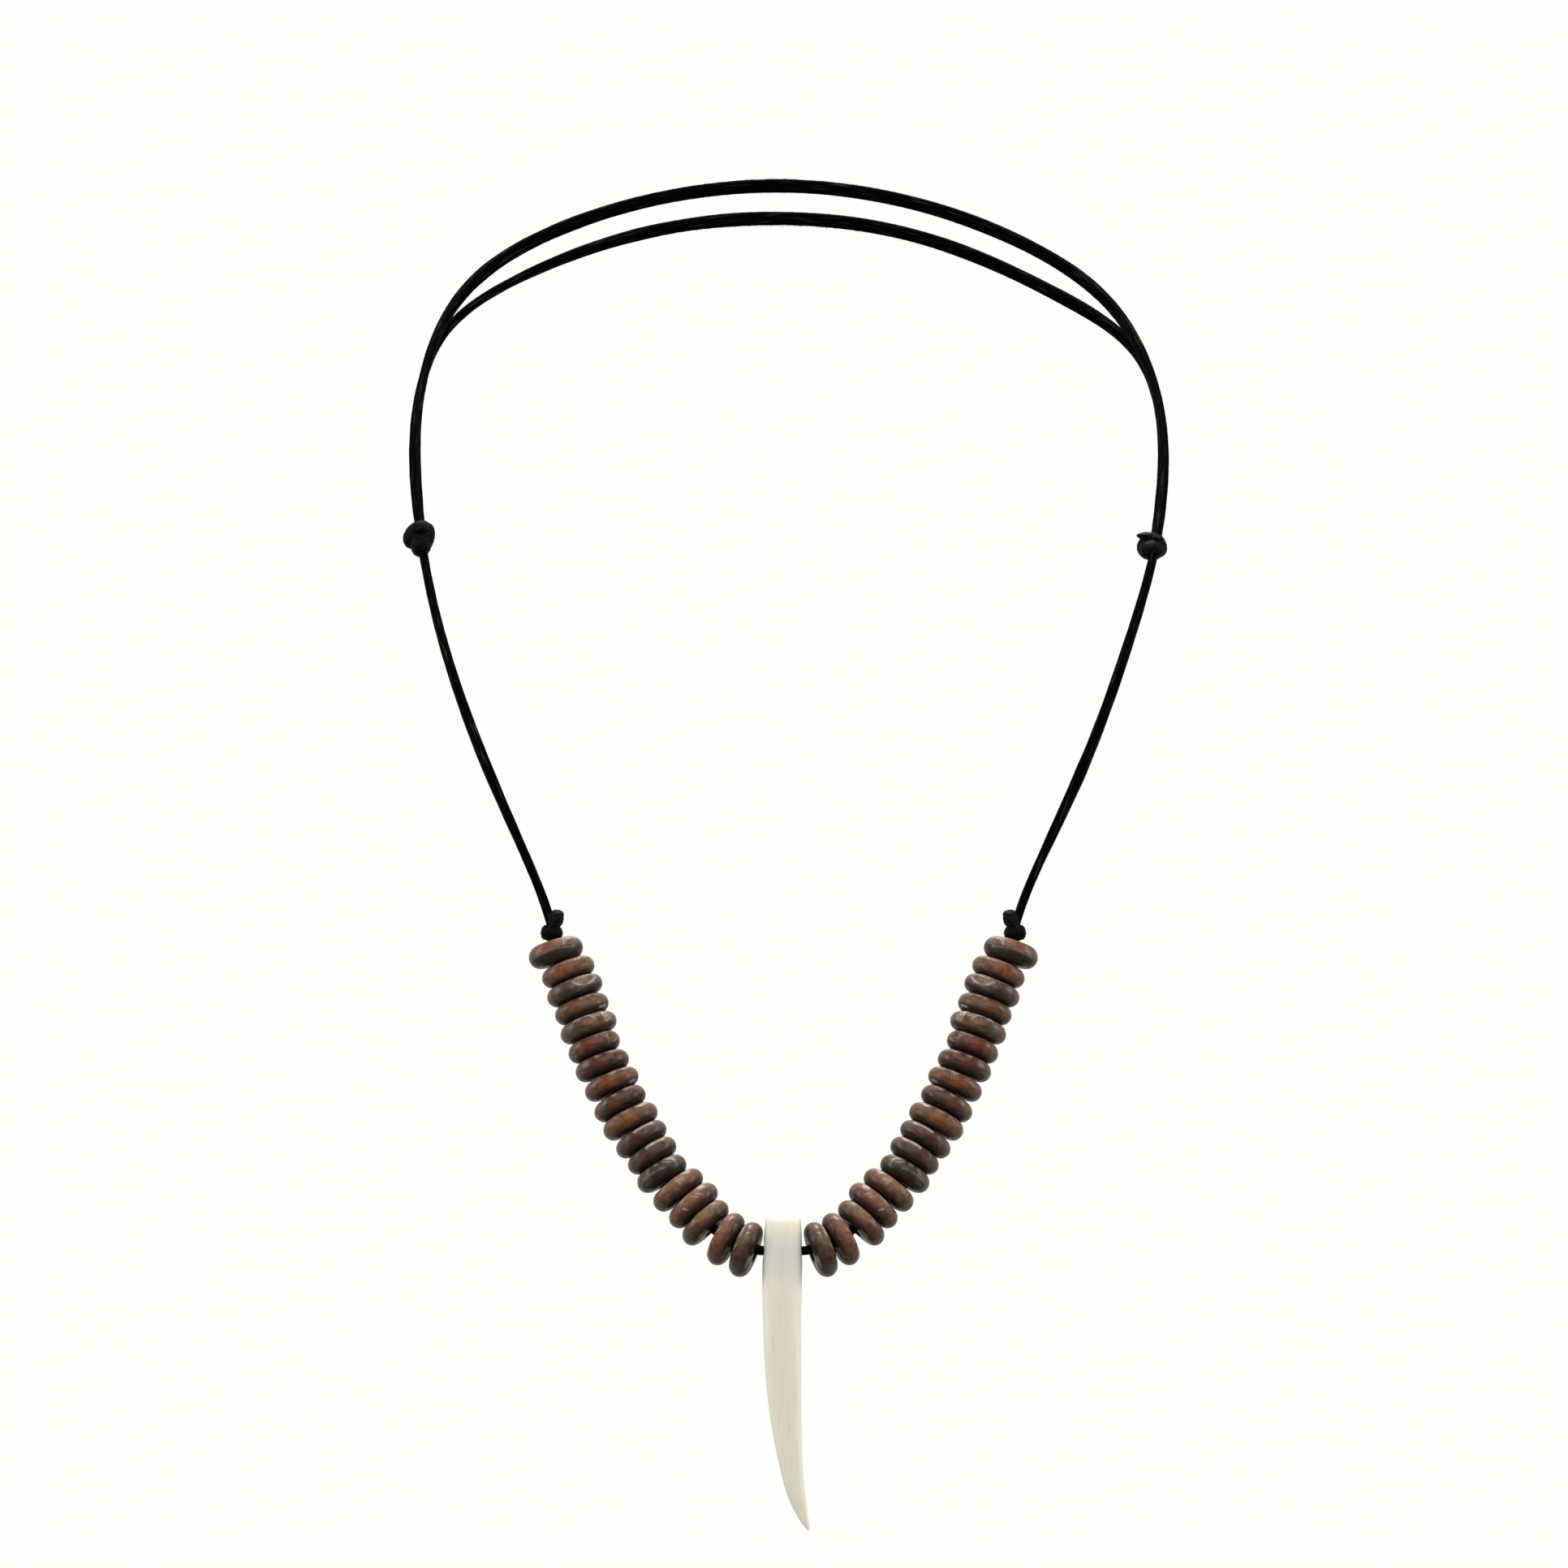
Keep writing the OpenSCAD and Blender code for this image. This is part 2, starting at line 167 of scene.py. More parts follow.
def surface(name, grid, ring=False, layers=None):
    """Mesh object of a closed surface on a grid of points, rows x columns x 3.

    The columns join into rings. The rows join too if ring is true, and otherwise a fan of triangles
    closes each end. The faces are turned outwards by the sign of the volume. layers holds values for
    each point of the grid, by name: three numbers each, or four for a colour.
    """
    rows, columns = grid.shape[:2]
    row = np.arange(rows if ring else rows - 1)[:, None] * columns
    column = np.arange(columns)[None, :]
    beside = (column + 1) % columns
    next_row = (row + columns) % (rows * columns)
    quads = np.stack([row + column, row + beside, next_row + beside, next_row + column], -1)
    quads = quads.reshape(-1, 4)
    points = grid.reshape(-1, 3)
    fans = np.empty((0, 3), int)
    if not ring:
        first, last = rows * columns, rows * columns + 1
        rim = np.arange(columns)
        edge = (rows - 1) * columns + rim
        fans = np.vstack([
            np.stack([np.full(columns, first), (rim + 1) % columns, rim], -1),
            np.stack([np.full(columns, last), edge, (rows - 1) * columns + (rim + 1) % columns], -1),
        ])
        points = np.vstack([points, grid[0].mean(0), grid[-1].mean(0)])
    halves = np.vstack([quads[:, [0, 1, 2]], quads[:, [0, 2, 3]], fans])
    a, b, c = (points[halves[:, i]] for i in range(3))
    if (a * np.cross(b, c)).sum() < 0:
        quads, fans = quads[:, ::-1], fans[:, ::-1]
    mesh = bpy.data.meshes.new(name)
    mesh.from_pydata(points.tolist(), [], quads.tolist() + fans.tolist())
    mesh.shade_smooth()
    for layer, values in (layers or {}).items():
        width = values.shape[-1]
        flat = values.reshape(-1, width)
        if not ring:
            flat = np.vstack([flat, values[0].mean(0), values[-1].mean(0)])
        kind, field = ("FLOAT_COLOR", "color") if width == 4 else ("FLOAT_VECTOR", "vector")
        made = mesh.attributes.new(layer, kind, "POINT")
        made.data.foreach_set(field, flat.astype(np.float32).ravel())
    made = bpy.data.objects.new(name, mesh)
    bpy.context.scene.collection.objects.link(made)
    return made


def squarish(angles, power):
    """Cosine and sine of the angles, bent so that together they draw a squarish oval."""
    c, s = np.cos(angles), np.sin(angles)
    return np.sign(c) * np.abs(c) ** (2 / power), np.sign(s) * np.abs(s) ** (2 / power)


def place_camera():
    data = bpy.data.cameras.new("camera")
    data.sensor_width = SENSOR_WIDTH
    data.lens = LENS
    data.clip_start, data.clip_end = 0.1, 20
    camera = bpy.data.objects.new("camera", data)
    camera.location = EYE
    camera.rotation_euler = (np.pi / 2, 0, 0)
    bpy.context.scene.collection.objects.link(camera)
    bpy.context.scene.camera = camera


# Lace

# How ragged the worn edges at the nape are: height of the tufts, how far along the strand they
# reach, their sizes, and where across the strand they start, from 0 in its middle to 1 at its edge.
# The upper strand is worn on its upper edge, and the lower one on its lower edge.
RAGGED_DEPTH = 0.22 * MM
RAGGED_REACH = 11 * MM
RAGGED_SIZES = np.array([0.6, 0.8, 1.1, 1.7]) * MM
RAGGED_FROM = 0.2
# The nape lies behind this place
NAPE_FRONT = -30 * MM


def worn(middle):
    """Share of wear, 1 at the nape and 0 beyond its reach: a bell curve over the sideways place."""
    return np.where(middle[:, 1] > NAPE_FRONT, np.exp(-(middle[:, 0] / RAGGED_REACH) ** 2), 0)


def lace_grid(t):
    """Rings of the lace at t: a squarish oval across the route, as wide and thick as the lace.

    The width swells and shrinks a little along the way, the flat sides are slightly wavy, and the
    worn edge stands out in small tufts.
    """
    middle, heading, broadside, through = lace_frame(t)
    angles = np.arange(LACE_SIDES) * 2 * np.pi / LACE_SIDES
    across, deep = squarish(angles, LACE_SQUARENESS)
    width = 1 + WIDTH_SWELL * waves(middle, WIDTH_WAVES, 1)
    thickness = 1 + THICKNESS_SWELL * waves(middle, THICKNESS_WAVES, 2)
    offset = (
        (across[None, :, None] * broadside[:, None]) * (width * LACE_WIDTH / 2)[:, None, None]
        + (deep[None, :, None] * through[:, None]) * (thickness * LACE_THICKNESS / 2)[:, None, None]
    )
    grid = middle[:, None] + offset
    lower = t < BORE_AT
    edge = np.where(lower[:, None], across[None], -across[None])
    tufts = 0.5 + 0.5 * waves(grid, RAGGED_SIZES, 3)
    grow = RAGGED_DEPTH * worn(middle)[:, None] * np.clip(edge - RAGGED_FROM, 0, 1) * tufts
    fine = GRAIN_HEIGHT * waves(grid, GRAIN_WAVES, 4)
    grid = grid + (grow + fine)[..., None] * unit(offset)
    lengths = np.concatenate([[0], np.cumsum(np.linalg.norm(np.diff(middle, axis=0), axis=1))])
    place = np.stack([
        np.broadcast_to(lengths[:, None], grid.shape[:2]),
        np.broadcast_to(across * LACE_WIDTH / 2, grid.shape[:2]),
        np.broadcast_to(deep * LACE_THICKNESS / 2, grid.shape[:2]),
    ], -1)
    return grid, place, middle, lengths[-1]


def make_lace():
    t = np.linspace(0, ROUTE_LAST, LACE_RINGS)
    grid, place, middle, length = lace_grid(t)
    lace = surface("leather_lace", grid, layers={"along": place})
    lace.data.materials.append(black_leather("dyed_leather_lace", LACE_SHEEN))
    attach(lace, NECKLACE)
    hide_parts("lace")
    make_fibres()


# Fibres of the worn edges: their number, the share of them on the lower strand, their length and
# thickness, and how far along the strand they spread, in rows of the route
FIBRES = 900
FIBRES_BELOW = 0.72
FIBRE_LENGTH = 0.5 * MM
FIBRE_THICKNESS = 0.045 * MM
FIBRE_SPREAD = 0.24
FIBRE_RINGS, FIBRE_SIDES = 4, 3
FIBRE_TAPER = 0.85
# A fibre's root, as shares of the lace's half width and half thickness; how far it leans over the
# thickness; how much it strays and bends; and the shortest one as a share of the longest
FIBRE_ROOT = (0.9, 0.8)
FIBRE_LEAN, FIBRE_STRAY, FIBRE_BEND, FIBRE_SHORTEST = 0.9, 0.54, 0.5, 0.35
# The nape lies this many rows from either end of the route
NAPE_ROW = 5


def make_fibres():
    """Short loose fibres on the worn edges at the nape, as bent cones.

    Fibre: root + length x (s x out + s^2 x bend), with s from 0 to 1, and a ring whose radius
    narrows as 1 - taper x s.
    """
    rng = np.random.default_rng(11)
    lower = rng.random(FIBRES) < FIBRES_BELOW
    t = np.where(lower, NAPE_ROW, ROUTE_LAST - NAPE_ROW) + rng.normal(size=FIBRES) * FIBRE_SPREAD
    middle, heading, broadside, through = lace_frame(t)
    side = np.where(lower, 1, -1)[:, None] * broadside
    lean = rng.uniform(-FIBRE_LEAN, FIBRE_LEAN, FIBRES)[:, None] * through
    half_width, half_thickness = FIBRE_ROOT[0] * LACE_WIDTH / 2, FIBRE_ROOT[1] * LACE_THICKNESS / 2
    root = middle + side * half_width + lean * half_thickness
    out = unit(side + FIBRE_ROOT[1] * lean + FIBRE_STRAY * rng.normal(size=(FIBRES, 3)))
    bend = FIBRE_BEND * rng.normal(size=(FIBRES, 3))
    length = FIBRE_LENGTH * rng.uniform(FIBRE_SHORTEST, 1.0, FIBRES)
    s = np.linspace(0, 1, FIBRE_RINGS)[None, :, None]
    spine = root[:, None] + length[:, None, None] * (s * out[:, None] + s**2 * bend[:, None])
    across = unit(np.cross(out, unit(rng.normal(size=(FIBRES, 3)))))
    deep = np.cross(out, across)
    angle = np.arange(FIBRE_SIDES) * 2 * np.pi / FIBRE_SIDES
    ring = np.cos(angle)[:, None] * across[:, None] + np.sin(angle)[:, None] * deep[:, None]
    radius = FIBRE_THICKNESS / 2 * (1 - FIBRE_TAPER * s[0, :, 0])
    grid = spine[:, :, None] + radius[None, :, None, None] * ring[:, None]
    per = FIBRE_RINGS * FIBRE_SIDES
    r = np.arange(FIBRE_RINGS - 1)[:, None] * FIBRE_SIDES
    c = np.arange(FIBRE_SIDES)[None]
    d = (c + 1) % FIBRE_SIDES
    walls = np.stack([r + c, r + d, r + FIBRE_SIDES + d, r + FIBRE_SIDES + c], -1).reshape(-1, 4)
    ends = np.array([[2, 1, 0], [per - 3, per - 2, per - 1]])
    start = np.arange(FIBRES)[:, None, None] * per
    quads = (walls[None] + start).reshape(-1, 4)
    tips = (ends[None] + start).reshape(-1, 3)
    mesh = bpy.data.meshes.new("lace_fibres")
    mesh.from_pydata(grid.reshape(-1, 3).tolist(), [], quads.tolist() + tips.tolist())
    mesh.materials.append(black_leather("dyed_leather_lace", LACE_SHEEN))
    fibres = bpy.data.objects.new("lace_fibres", mesh)
    bpy.context.scene.collection.objects.link(fibres)
    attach(fibres, NECKLACE)
    return fibres


# Beads

# Sections of a bead's rim as control points of a smooth curve, from the upper face to the lower one.
# Columns: depth inside the rim and height, as shares of the half thickness. At the front the upper
# edge is crisp, a soft ridge runs round the middle, and the lower side falls away. At the two sides
# the rim is worn round.
FRONT_RIM = [
    [1.35, 1], [0.85, 1.01], [0.5, 1.01], [0.36, 0.98], [0.29, 0.88], [0.15, 0.62], [0.04, 0.36], [0, 0.08],
    [0.03, -0.2], [0.13, -0.5], [0.34, -0.82], [0.68, -0.97], [1.05, -1.01], [1.4, -1],
]
SIDE_RIM = [
    [1.45, 1], [1.15, 1], [0.86, 1], [0.6, 0.93], [0.36, 0.77], [0.17, 0.55], [0.04, 0.29], [0, 0.02],
    [0.04, -0.27], [0.17, -0.53], [0.38, -0.77], [0.68, -0.94], [1.05, -1.0], [1.4, -1],
]
# How much of the side's section comes in at the two sides of a bead
SIDE_SHARE = 0.8
RIM_POINTS = 35
BORE_ROUND = 0.22 * MM
BEAD_TURN = 168
# How much the rim swells and shrinks round the bead, as a share of the radius, over what lengths,
# and how far it is swollen everywhere, as a share of that
RIM_SWELL, RIM_WAVES, RIM_LEVEL = 0.01, np.array([3.5, 5.0, 8.0]) * MM, 0.6
# One row for each bead, from the stop knot down to the tusk, on the left string. The right string
# mirrors them. Columns: shell, patch, place of the patch round the rim in degrees from the front
# towards the tusk and its half width, its height across the rim as a share of the half thickness,
# its strength, height of the edge of the painted shade on the lower side, how dark that painted
# shade is, strength of the fine lines across the rim.
BEAD_ROWS = [
    ("#625548", "#84492f", -4, 32, 0.55, 0.9, 0.38, 0.85, 0.1),
    ("#6a4638", "#8a4a22", -14, 20, 0.1, 0.85, -0.2, 0.95, 0.2),
    ("#54403c", "#7a6a5c", 25, 22, 0.35, 0.8, -0.1, 0.95, 0.1),
    ("#604538", "#7b452e", -10, 24, 0.05, 0.8, 0.0, 0.95, 0.1),
    ("#54483e", "#7d563c", 12, 22, 0.1, 0.85, -0.2, 0.9, 0.3),
    ("#5a382c", "#733a26", -8, 24, 0.1, 0.75, -0.1, 0.95, 0.1),
    ("#4f352d", "#6d3a28", 0, 18, 0.0, 0.75, -0.05, 0.95, 0.1),
    ("#634434", "#80491f", -2, 26, 0.05, 0.8, -0.15, 0.9, 0.1),
    ("#4a3932", "#6c3c20", 0, 20, 0.0, 0.8, 0.0, 0.95, 0.1),
    ("#644434", "#84501f", -4, 30, 0.1, 0.8, -0.2, 0.9, 0.1),
    ("#4c3a34", "#5c2e24", -6, 20, 0.1, 0.7, -0.05, 0.95, 0.0),
    ("#473a33", "#573528", -14, 20, 0.1, 0.6, 0.0, 0.95, 0.0),
    ("#40372f", "#332e29", 10, 30, -0.2, 0.6, 0.0, 0.9, 0.1),
    ("#6b4a39", "#9c7058", 10, 34, 0.75, 0.85, -0.1, 0.95, 0.4),
    ("#604031", "#94664e", 12, 34, 0.75, 0.85, -0.1, 0.95, 0.4),
    ("#5a3f30", "#947054", 12, 32, 0.75, 0.85, -0.1, 0.95, 0.2),
    ("#5f3e2f", "#8e5b47", 4, 34, 0.6, 0.8, -0.15, 0.95, 0.2),
    ("#503c32", "#6c5a38", 26, 18, 0.4, 0.7, -0.25, 0.9, 0.4),
]
# Blotches of the shell, and how much they darken or lighten its tone and fray the patch
BLOTCH_SIZES = np.array([1.1, 1.7, 2.6]) * MM
BLOTCH_SHADE = 0.28
BLOTCH_FRAY = 0.35
# How much darker the middle of the rim is than its ends
MIDDLE_SHADE = 0.78
# Reach of the patch across the rim. Heights across the rim are shares of the half thickness.
PATCH_REACH = 0.62
# Painted sheen at the ends of the rim, a paler tone that stands in for the light they catch from the
# sides: where it starts and how far it blends, in degrees from the front, and its strength at the end
# away from the tusk and at the end near to it
PAINTED_END_SHEEN = "#725b4a"
END_SHEEN_FROM, END_SHEEN_BLEND = 18, 45
AWAY_END, NEAR_END = 0.8, 0.5
# Pale line of light along the upper edge: its height, half width and strength; how much of it shows
# at the front, how it grows towards the tusk, and how much the blotches break it
EDGE_TONE = "#c4ae9c"
EDGE_HEIGHT, EDGE_WIDTH, EDGE_STRENGTH = 0.8, 0.1, 0.5
EDGE_LEVEL, EDGE_GROWTH, EDGE_BREAK = 0.1, 1.3, 0.8
# Painted shade on the lower side of the rim, where light from above does not reach: how far under
# its edge it starts, how far it blends in, how much its edge wanders and its strength
PAINTED_UNDER_SHADE = "#1c1712"
UNDER_DROP, UNDER_BLEND, UNDER_WANDER, UNDER_STRENGTH = 0.2, 0.36, 0.12, 0.9
# Pale scratches and frayed edges on the fronts of the left beads, and on beads 11 and 12 long painted
# highlights along the upper edge. Columns: bead; start and end, in millimetres to the right and up
# from the bead's middle as it is seen from the front; how far the line bows upwards; its width; its
# strength.
MARKS_AND_HIGHLIGHTS = [
    (1, 1.79, 1.35, 1.75, 0.5, 0, 0.09, 0.7), (1, 2.15, 1.3, 2.1, 0.75, 0, 0.08, 0.5),
    (1, -3.3, 0.0, 2.9, -0.2, 0.25, 0.1, 0.2),
    (3, 0.28, 0.86, 3.8, 0.5, -0.85, 0.13, 0.75), (3, 0.5, 1.0, 3.4, 1.15, 0.3, 0.12, 0.45),
    (4, 2.9, -0.95, 3.65, -0.85, 0, 0.12, 0.9), (4, 1.2, 1.25, 3.4, 0.9, 0.2, 0.12, 0.35),
    (5, -1.77, 1.2, 0.35, 1.45, 0.15, 0.12, 0.55), (5, 0.35, 1.45, 2.84, 1.3, 0.2, 0.14, 0.85),
    (5, 0.8, 1.4, 1.5, 0.7, 0.1, 0.1, 0.8), (5, 1.5, 1.25, 2.3, 0.95, -0.15, 0.09, 0.6),
    (5, 2.9, 1.2, 3.15, -0.4, 0.1, 0.09, 0.6), (5, 3.3, 1.0, 3.5, -0.3, 0.1, 0.09, 0.6),
    (5, 3.65, 0.8, 3.75, -0.3, 0.05, 0.08, 0.5),
    (6, 1.9, 1.0, 2.9, 0.9, -0.35, 0.1, 0.4), (6, 2.4, 1.1, 2.7, 0.2, 0.1, 0.09, 0.4),
    (6, 3.3, -0.5, 3.75, -0.2, 0, 0.12, 0.5),
    (8, 0.8, 0.9, 1.4, 1.15, 0.12, 0.08, 0.6), (8, 2.8, -1.2, 3.5, -1.0, 0, 0.12, 0.7),
    (11, -0.2, 1.1, 2.8, 1.0, 0.12, 0.15, 1.0), (12, 0.0, 1.1, 2.9, 1.1, 0.1, 0.17, 1.0),
    (13, 1.7, 1.35, 3.2, 0.5, 0.1, 0.1, 0.6), (13, 2.4, 1.25, 2.9, 0.2, 0.1, 0.09, 0.55),
    (13, 1.2, 1.15, 2.1, 0.6, 0, 0.09, 0.45), (13, -3.3, 0.1, 1.0, 0.2, 0.3, 0.12, 0.25),
    (14, 0.6, 1.3, 1.1, 0.3, 0, 0.08, 0.4), (14, 1.0, 1.35, 1.5, 0.4, 0, 0.08, 0.4),
    (14, 1.5, 1.3, 1.8, 0.3, 0, 0.08, 0.35),
    (15, -1.35, 0.3, -0.95, -0.35, 0, 0.1, 0.8), (15, 0.9, 0.9, 1.6, 0.1, 0, 0.08, 0.4),
    (15, 1.7, 0.8, 2.3, 0.0, 0, 0.08, 0.4),
    (16, -2.1, -1.3, -0.6, -1.4, 0, 0.16, 0.7), (17, -2.6, -1.25, -0.9, -1.4, 0, 0.14, 0.6),
    (18, -2.3, -1.2, -0.6, -1.4, 0, 0.15, 0.6), (18, 2.6, 0.3, 2.9, 0.05, 0, 0.1, 0.8),
]
PALE_MARK_AND_HIGHLIGHT = "#b8a898"
# Ground flats of a bead: how many, how many of them are on the front, how deep they reach, how much
# of that depth the others have, where they lie round the rim and how they tilt, in degrees, and how
# often they tilt down and up
FLATS, FRONT_FLATS = 7, 4
FLAT_DEPTH = (0.03 * MM, 0.13 * MM)
BACK_DEPTH = 0.4
FRONT_TURNS, BACK_TURNS = (-50, 50), (65, 295)
FLAT_TILTS = (15, 60)
DOWN_AND_UP = [0.35, 0.65]
# Chips of a bead: how many, their size, their depth as a share of it, how far inside the rim they
# lie and at what height, as shares of the half thickness
CHIPS = 5
CHIP_SIZE = (0.15, 0.4)
CHIP_DEPTH, CHIP_INSET = 0.35, 0.3
CHIP_HEIGHT = (0.6, 0.95)


def solid_moments(node):
    """Volume, middle and second moments of a closed CAD solid, from its triangles.

    Each triangle makes a tetrahedron with the origin, of volume a . (b x c) / 6. Its middle is a
    quarter of a + b + c, and its second moment is a twentieth of the volume times the sum of the
    corners' own squares and the square of their sum.
    """
    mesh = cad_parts[node].data
    mesh.calc_loop_triangles()
    points = np.empty(len(mesh.vertices) * 3)
    mesh.vertices.foreach_get("co", points)
    corners = np.empty(len(mesh.loop_triangles) * 3, int)
    mesh.loop_triangles.foreach_get("vertices", corners)
    tri = points.reshape(-1, 3)[corners.reshape(-1, 3)]
    volume = np.einsum("ij,ij->i", tri[:, 0], np.cross(tri[:, 1], tri[:, 2])) / 6
    total = tri.sum(1)
    middle = (volume[:, None] * total).sum(0) / 4 / volume.sum()
    own = np.einsum("i,ikp,ikq->pq", volume, tri, tri) + np.einsum("i,ip,iq->pq", volume, total, total)
    spread = own / 20 / volume.sum() - np.outer(middle, middle)
    return points.reshape(-1, 3), middle, spread


def bead_frame(node):
    """Middle, axes, half thickness, radius and bore radius of a CAD bead.

    Its axis is the direction in which its solid is thinnest. The front of its rim is the side that
    faces -Y, and the first axis runs round to the end of the rim that is nearer to the tusk.
    """
    points, middle, spread = solid_moments(node)
    axis = np.linalg.eigh(spread)[1][:, 0]
    axis *= np.sign(axis[2])
    front = unit(np.array([0, -1, 0]) + axis[1] * axis)
    side = np.cross(axis, front)
    local = points - middle
    height = local @ axis
    radius = np.linalg.norm(local - height[:, None] * axis, axis=1)
    return middle, np.array([side, front, axis]), abs(height).max(), radius.max(), radius.min()


def bead_profile(rows, half, radius, bore):
    """Section of a bead as a closed line of (distance from the axis, height): a quarter circle out
    of the bore, the upper face, the smooth rim, and the same way back below and up the bore."""
    depth, height = spline(rows, np.linspace(0, len(rows) - 1, RIM_POINTS))[0].T
    rim = np.stack([radius - depth * half, height * half], -1)
    lip = np.linspace(0, np.pi / 2, 4)[:, None]
    lips = np.hstack([bore + BORE_ROUND * (1 - np.cos(lip)), half - BORE_ROUND * (1 - np.sin(lip))])
    share = np.linspace(0, 1, 6)[1:-1, None]
    upper = np.vstack([lips, lips[-1] + share * (rim[0] - lips[-1])])
    lower = np.vstack([lips * [1, -1], lips[-1] * [1, -1] + share * (rim[-1] - lips[-1] * [1, -1])])
    wall = np.linspace(-1, 1, 6)[1:-1, None] * (half - BORE_ROUND)
    return np.vstack([upper, rim, lower[::-1], np.hstack([0 * wall + bore, wall])])


def ground_flats(local, rng):
    """Planes a few flats off the rim: what stands past a plane is set back on to it.

    A plane's distance is the bead's own reach in its direction, less a small depth.
    """
    for i in range(FLATS):
        in_front = i < FRONT_FLATS
        turn = np.radians(rng.uniform(*(FRONT_TURNS if in_front else BACK_TURNS)))
        tilt = np.radians(rng.choice([-1, 1], p=DOWN_AND_UP) * rng.uniform(*FLAT_TILTS))
        way = np.array([np.cos(tilt) * np.sin(turn), np.cos(tilt) * np.cos(turn), np.sin(tilt)])
        reach = (local @ way).max()
        past = local @ way - reach + rng.uniform(*FLAT_DEPTH) * (1 if in_front else BACK_DEPTH)
        local = local - np.maximum(past, 0)[..., None] * way
    return local


def chips(local, half, radius, rng):
    """A few chips along the edges of the rim, as dents in the form of a bell curve."""
    for _ in range(CHIPS):
        turn = rng.uniform(-np.pi, np.pi)
        place = np.array([np.sin(turn), np.cos(turn), 0]) * (radius - CHIP_INSET * half)
        place[2] = rng.choice([-1, 1]) * half * rng.uniform(*CHIP_HEIGHT)
        size = rng.uniform(*CHIP_SIZE) * MM
        gap = np.linalg.norm(local - place, axis=-1)
        local = local - (CHIP_DEPTH * size * np.exp(-(gap / size) ** 2))[..., None] * unit(place)
    return local


def mix(a, b, share):
    return a + (b - a) * share[..., None]


def distance_to_line(local, x1, y1, x2, y2, bow):
    """Distance on a bead's front from a line that bows upwards as a parabola between its ends."""
    s = np.linspace(0, 1, 25)
    x = MM * (x1 + (x2 - x1) * s)
    y = MM * (y1 + (y2 - y1) * s + 4 * bow * s * (1 - s))
    return np.hypot(local[..., :1] - x, local[..., 2:] - y).min(-1)


def bead_colour(number, row, turn, local, half, rng):
    """Colour of the shell with painted light: its tone with blotches, a warm patch that fades as a bell
    curve round its middle, a painted sheen at the ends of the rim, a painted highlight along the upper
    edge that fades away from the tusk, painted shade on the lower side, and the marks of wear, with
    painted highlights among them on two beads. The last number is the strength of the fine lines across."""
    shell, patch, place, width, height, strength, below, under, lines = row
    share = local[..., 2] / half
    degrees = np.degrees(turn)
    front = local[..., 1] > 0
    uneven = waves(local + rng.uniform(size=3), BLOTCH_SIZES, rng.integers(1000))
    tone = tone_of(shell) * (MIDDLE_SHADE * (1 + BLOTCH_SHADE * uneven))[..., None]
    away = ((degrees - place) / width) ** 2 + ((share - height) / PATCH_REACH) ** 2
    warm = strength * np.exp(-away * (1 + BLOTCH_FRAY * uneven))
    tone = mix(tone, MIDDLE_SHADE * tone_of(patch), warm)
    # Painted sheen: the ends of the rim are mixed towards a paler tone that stands in for light caught from
    # the sides.
    ends = np.clip((abs(degrees) - END_SHEEN_FROM) / END_SHEEN_BLEND, 0, 1) * np.where(turn < 0, AWAY_END, NEAR_END)
    tone = mix(tone, tone_of(PAINTED_END_SHEEN), ends)
    lit = np.clip(EDGE_LEVEL + EDGE_GROWTH * np.sin(turn) + EDGE_BREAK * uneven, 0, 1) * front
    edge = EDGE_STRENGTH * lit * np.exp(-((share - EDGE_HEIGHT) / EDGE_WIDTH) ** 2)
    tone = mix(tone, tone_of(EDGE_TONE), edge)
    # Painted shade: the lower side of the rim is mixed towards a dark tone where light from above does not
    # reach it.
    painted_shade_edge = below - UNDER_DROP + UNDER_WANDER * uneven + UNDER_WANDER * np.sin(turn)
    low = np.clip((painted_shade_edge - share) / UNDER_BLEND, 0, 1)
    tone = mix(tone, tone_of(PAINTED_UNDER_SHADE), UNDER_STRENGTH * under * low)
    # Pale scratches and frayed edges; the long lines on beads 11 and 12 are painted highlights.
    for bead, *line, width, strength in MARKS_AND_HIGHLIGHTS:
        if bead == number:
            near = np.exp(-(distance_to_line(local, *line) / (width * MM)) ** 2)
            tone = mix(tone, tone_of(PALE_MARK_AND_HIGHLIGHT), strength * near * front)
    return np.concatenate([tone, np.full((*share.shape, 1), lines)], -1)


def make_beads():
    """The beads: the section of the rim carried round the axis, with flats, chips and an uneven rim.

    Section at a turn from the front: front + (side - front) x side share x sin^2 of the turn.
    """
    turn = np.linspace(-np.pi, np.pi, BEAD_TURN, endpoint=False)[:, None]
    for number, row in enumerate(BEAD_ROWS, 1):
        left, right = (f"bead_{side}_{number:02d}" for side in ("left", "right"))
        middle, axes, half, radius, bore = bead_frame(left)
        rng = np.random.default_rng(100 + number)
        front, side = (bead_profile(rows, half, radius, bore) for rows in (FRONT_RIM, SIDE_RIM))
        sections = front + (side - front) * (SIDE_SHARE * np.sin(turn) ** 2)[..., None]
        reach, height = sections.transpose(2, 0, 1)
        local = np.stack([reach * np.sin(turn), reach * np.cos(turn), height], -1)
        outer = np.clip((reach - bore) / (radius - bore), 0, 1)
        fuller = 1 + RIM_SWELL * outer * (RIM_LEVEL + waves(local, RIM_WAVES, 200 + number))
        local = local * np.stack([fuller, fuller, 1 + 0 * fuller], -1)
        local = chips(ground_flats(local, rng), half, radius, rng)
        turns = np.broadcast_to(turn, local.shape[:2])
        # The colour layer holds the shell's tone together with its painted sheen, highlights and shade.
        layers = {
            "shell_place": local + 0.05 * number,
            "shell_colour_and_painted_light": bead_colour(number, row, turns, local, half, rng),
        }
        placed = middle + local @ axes
        for node, grid in ((left, placed), (right, placed * MIRROR)):
            bead = surface("shell_" + node, grid, ring=True, layers=layers)
            bead.data.materials.append(coconut_shell())
            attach(bead, NECKLACE)
            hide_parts(node)


# Tusk

